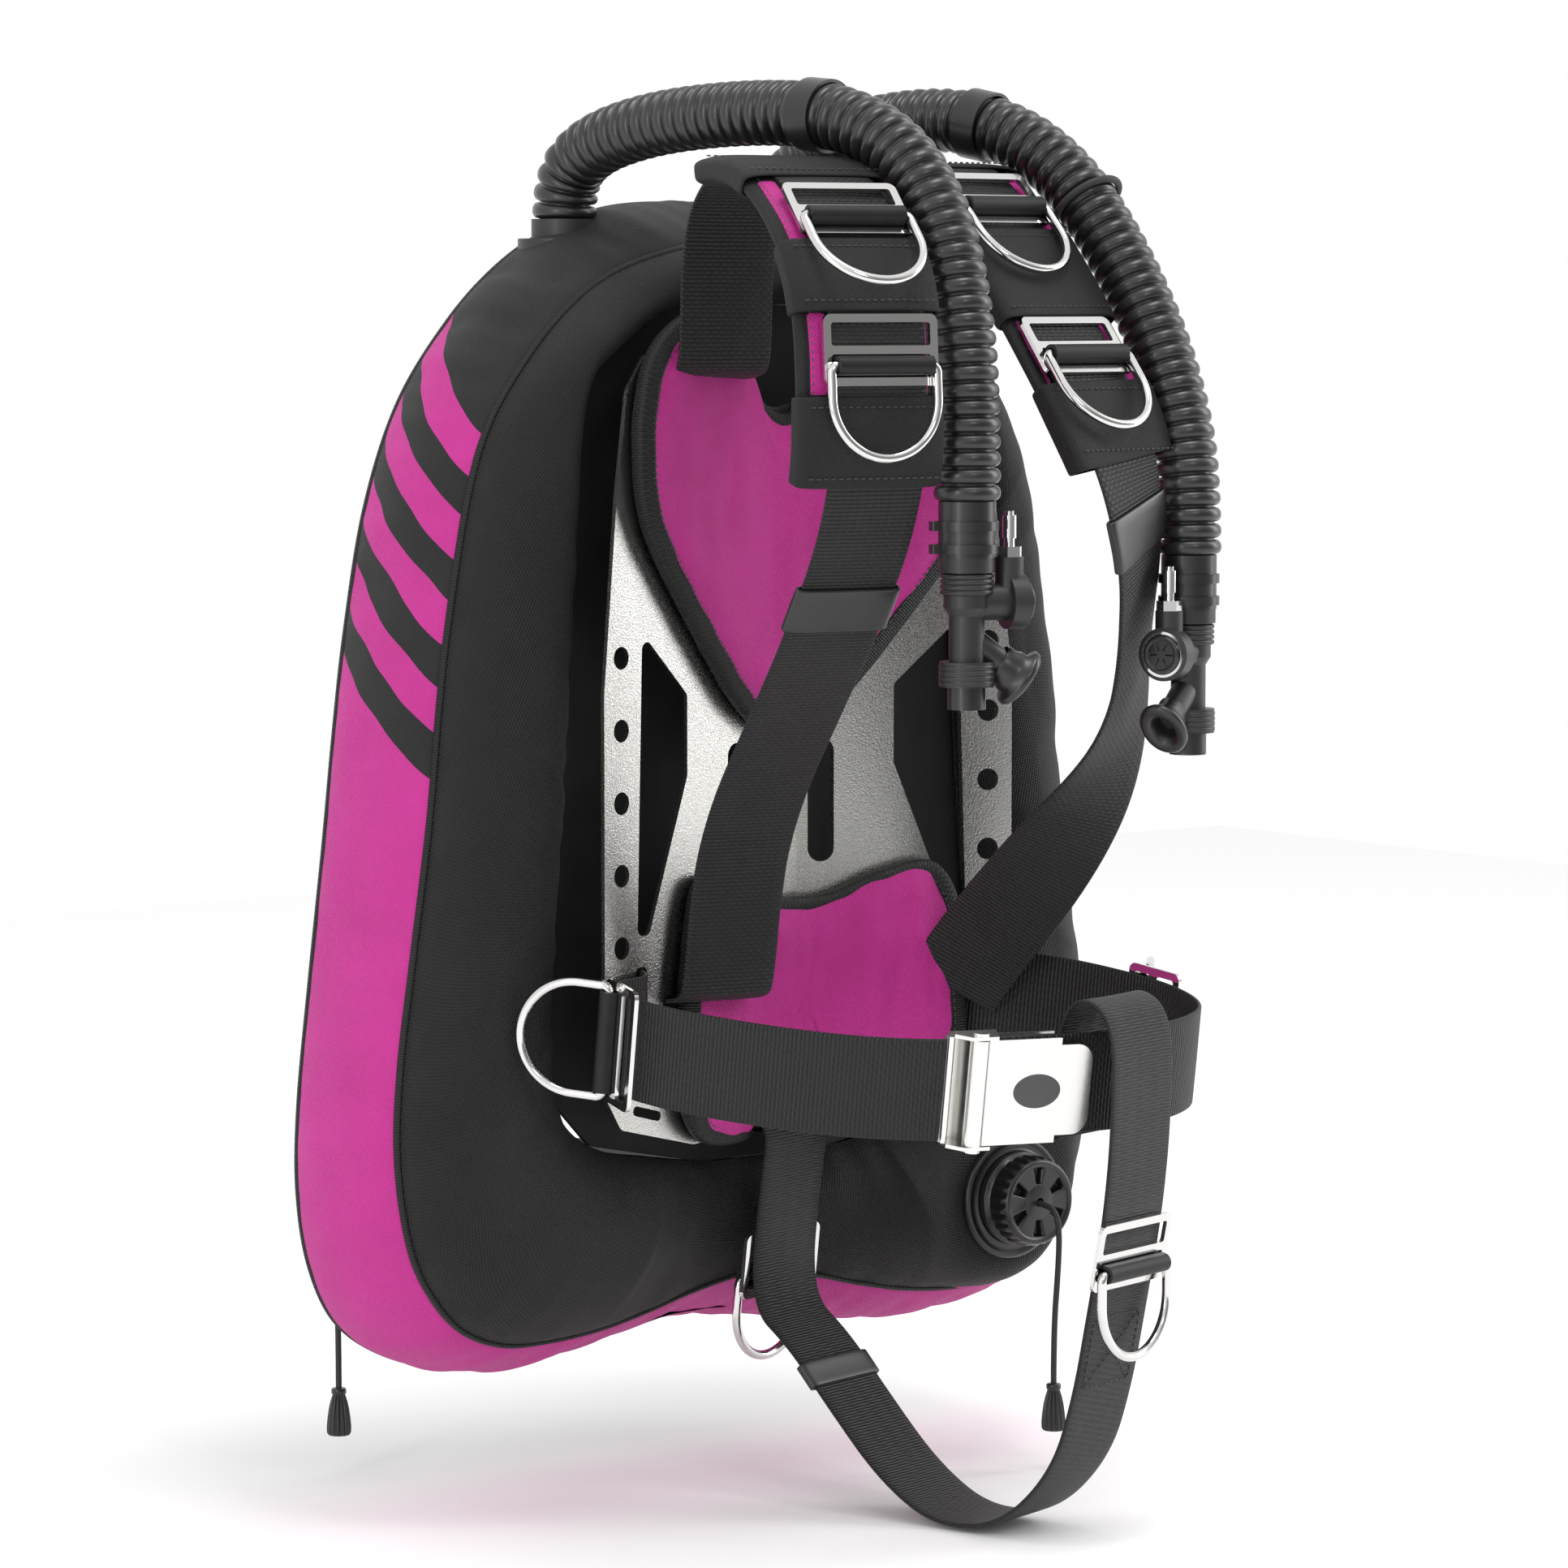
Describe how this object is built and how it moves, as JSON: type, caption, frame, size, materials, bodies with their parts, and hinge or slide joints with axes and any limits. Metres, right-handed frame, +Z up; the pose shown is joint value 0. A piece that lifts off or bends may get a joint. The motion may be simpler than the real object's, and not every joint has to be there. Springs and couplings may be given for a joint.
{
  "type": "buoyancy compensator vest",
  "caption": "Backplate-and-wing diving vest: donut air cell, bent steel plate, webbing harness with D-rings, cam buckle and twin inflator hoses.",
  "frame": {"origin": "midway between the two tank bolt holes, on the rear face of the backplate's channel", "axes": "+Z up the diver's back, -Y towards the diver, +X across the plate"},
  "size_m": [0.4558, 0.4013, 0.7219],
  "materials": {
    "plate_steel": "bead blasted stainless",
    "ring_steel": "polished stainless",
    "buckle_steel": "satin stainless",
    "chrome_fittings": "polished",
    "spring_steel": "bare wire",
    "wing_cloth": "coated ballistic nylon",
    "bladder_film": "welded film",
    "pad_cloth": "woven nylon",
    "shoulder_pad_cloth": "woven nylon",
    "webbing": "woven nylon webbing",
    "rubber": "smooth rubber",
    "black_plastic": "fine speckled",
    "button_plastic": "smooth",
    "badge_plastic": "satin",
    "metal_trim": "satin",
    "cord": "braided"
  },
  "bodies": {
    "harness": {"backplate": "plate_steel", "bladder_backup": "bladder_film", "bladder_primary": "bladder_film", "buckle_frame": "buckle_steel", "buckle_pin": "buckle_steel", "button_retainers": "chrome_fittings", "button_springs": "spring_steel", "cable_ties": "black_plastic", "crotch_strap": "webbing", "hose_bands": "rubber", "hose_bungee": "cord", "hose_cuffs": "rubber", "hose_elbow_left": "black_plastic", "hose_elbow_right": "black_plastic", "hose_left": "rubber", "hose_right": "rubber", "inflator_body_left": "black_plastic", "inflator_body_right": "black_plastic", "inflator_mouthpieces": "rubber", "inflator_nipples": "chrome_fittings", "lumbar_pad": "pad_cloth", "pad_fasteners": "metal_trim", "ring_loops": "webbing", "shoulder_pad_left": "shoulder_pad_cloth", "shoulder_pad_right": "shoulder_pad_cloth", "shoulder_strap_left": "webbing", "shoulder_strap_right": "webbing", "strap_keepers": "rubber", "upper_back_pad": "pad_cloth", "valve_caps": "black_plastic", "valve_patches": "rubber", "valve_seats": "black_plastic", "valve_spring_front": "spring_steel", "valve_spring_rear": "spring_steel", "waist_strap_left": "webbing", "waist_strap_right": "webbing", "webbing_slides": "ring_steel", "wing_centre_panel": "wing_cloth", "wing_grommets": "metal_trim", "wing_shell": "wing_cloth"},
    "d_ring_shoulder_left_upper": {"d_ring_shoulder_left_upper": "ring_steel"},
    "d_ring_shoulder_left_lower": {"d_ring_shoulder_left_lower": "ring_steel"},
    "d_ring_shoulder_right_upper": {"d_ring_shoulder_right_upper": "ring_steel"},
    "d_ring_shoulder_right_lower": {"d_ring_shoulder_right_lower": "ring_steel"},
    "d_ring_hip_left": {"d_ring_hip_left": "ring_steel"},
    "d_ring_hip_right": {"d_ring_hip_right": "ring_steel"},
    "d_ring_crotch_rear": {"d_ring_crotch_rear": "ring_steel"},
    "d_ring_crotch_front": {"d_ring_crotch_front": "ring_steel"},
    "buckle_plate": {"buckle_plate": "buckle_steel", "buckle_badge": "badge_plastic"},
    "inflate_button_left": {"inflate_button_left": "button_plastic"},
    "deflate_button_left": {"deflate_button_left": "button_plastic"},
    "inflate_button_right": {"inflate_button_right": "button_plastic"},
    "deflate_button_right": {"deflate_button_right": "button_plastic"},
    "dump_pull_front": {"valve_poppet_front": "black_plastic", "pull_cord_front": "cord", "pull_knob_front": "black_plastic"},
    "dump_pull_rear": {"valve_poppet_rear": "black_plastic", "pull_cord_rear": "cord", "pull_knob_rear": "black_plastic"}
  },
  "joints": [
    {"name": "ring_shoulder_left_upper_swing", "type": "hinge", "parent": "harness", "child": "d_ring_shoulder_left_upper", "pos_m": [-0.08659, -0.18257, 0.27538], "axis": [-0.9848, 0.1736, 0], "range_deg": [0, 85]},
    {"name": "ring_shoulder_left_lower_swing", "type": "hinge", "parent": "harness", "child": "d_ring_shoulder_left_lower", "pos_m": [-0.09168, -0.21142, 0.20442], "axis": [-0.9848, 0.1736, 0], "range_deg": [0, 85]},
    {"name": "ring_shoulder_right_upper_swing", "type": "hinge", "parent": "harness", "child": "d_ring_shoulder_right_upper", "pos_m": [0.06395, -0.10913, 0.28222], "axis": [-0.9962, -0.0872, 0], "range_deg": [0, 85]},
    {"name": "ring_shoulder_right_lower_swing", "type": "hinge", "parent": "harness", "child": "d_ring_shoulder_right_lower", "pos_m": [0.06912, -0.16829, 0.20876], "axis": [-0.9962, -0.0872, 0], "range_deg": [0, 60]},
    {"name": "ring_hip_left_swing", "type": "hinge", "parent": "harness", "child": "d_ring_hip_left", "pos_m": [-0.14559, -0.05823, -0.1284], "axis": [0, -0.1305, 0.9914], "range_deg": [-48, 40]},
    {"name": "ring_hip_right_swing", "type": "hinge", "parent": "harness", "child": "d_ring_hip_right", "pos_m": [0.15414, -0.11547, -0.13594], "axis": [0, 0.1305, -0.9914], "range_deg": [-48, 40]},
    {"name": "ring_crotch_rear_swing", "type": "hinge", "parent": "harness", "child": "d_ring_crotch_rear", "pos_m": [0.00032, -0.0012, -0.26653], "axis": [0.9659, 0.2588, 0], "range_deg": [0, 5]},
    {"name": "ring_crotch_front_swing", "type": "hinge", "parent": "harness", "child": "d_ring_crotch_front", "pos_m": [0.0589, -0.21983, -0.24019], "axis": [-0.9659, -0.2588, 0], "range_deg": [-5, 70]},
    {"name": "buckle_open", "type": "hinge", "parent": "harness", "child": "buckle_plate", "pos_m": [-0.0273, -0.20199, -0.14733], "axis": [0, 0.1305, -0.9914], "range_deg": [0, 150]},
    {"name": "inflate_left_press", "type": "slide", "parent": "harness", "child": "inflate_button_left", "axis": [-0.96, 0.28, 0], "range_m": [0, 0.003], "stiffness_N_per_m": 600, "springref_m": -0.001, "deforming": ["button_springs"]},
    {"name": "deflate_left_press", "type": "slide", "parent": "harness", "child": "deflate_button_left", "axis": [0, 0, 1], "range_m": [0, 0.004], "stiffness_N_per_m": 500, "springref_m": -0.001, "deforming": ["button_springs"]},
    {"name": "inflate_right_press", "type": "slide", "parent": "harness", "child": "inflate_button_right", "axis": [0.9207, 0.3903, 0], "range_m": [0, 0.003], "stiffness_N_per_m": 600, "springref_m": -0.001, "deforming": ["button_springs"]},
    {"name": "deflate_right_press", "type": "slide", "parent": "harness", "child": "deflate_button_right", "axis": [0, 0, 1], "range_m": [0, 0.004], "stiffness_N_per_m": 500, "springref_m": -0.001, "deforming": ["button_springs"]},
    {"name": "dump_front_pull", "type": "slide", "parent": "harness", "child": "dump_pull_front", "axis": [0, -1, 0], "range_m": [0, 0.005], "stiffness_N_per_m": 400, "springref_m": -0.002, "deforming": ["valve_spring_front"]},
    {"name": "dump_rear_pull", "type": "slide", "parent": "harness", "child": "dump_pull_rear", "axis": [0, 1, 0], "range_m": [0, 0.005], "stiffness_N_per_m": 400, "springref_m": -0.002, "deforming": ["valve_spring_rear"]}
  ]
}
